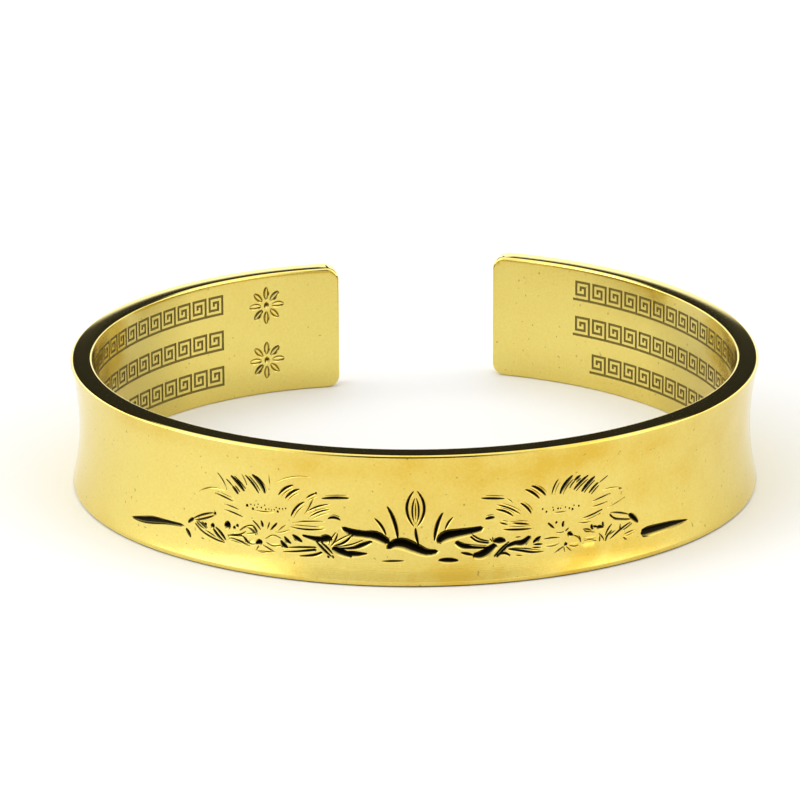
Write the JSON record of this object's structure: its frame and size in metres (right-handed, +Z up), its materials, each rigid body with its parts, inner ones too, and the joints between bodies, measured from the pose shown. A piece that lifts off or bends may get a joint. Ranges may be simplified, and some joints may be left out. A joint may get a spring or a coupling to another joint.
{
  "type": "open cuff bangle",
  "caption": "Open brass cuff bangle: a bent band with a hollowed outer face, rounded ends with a gap, and engraved lotus blossoms in front.",
  "frame": {"origin": "bottom centre of the bounding box, on the surface that the lower rim rests on", "axes": "+Z up through the opening for the wrist, -Y towards the engraved front, +X to the right seen from the front"},
  "size_m": [0.0626, 0.0596, 0.012],
  "materials": {
    "brass": "polished, lightly tarnished, with darkened engraving"
  },
  "bodies": {
    "root": {"cuff_band": "brass"}
  },
  "joints": []
}
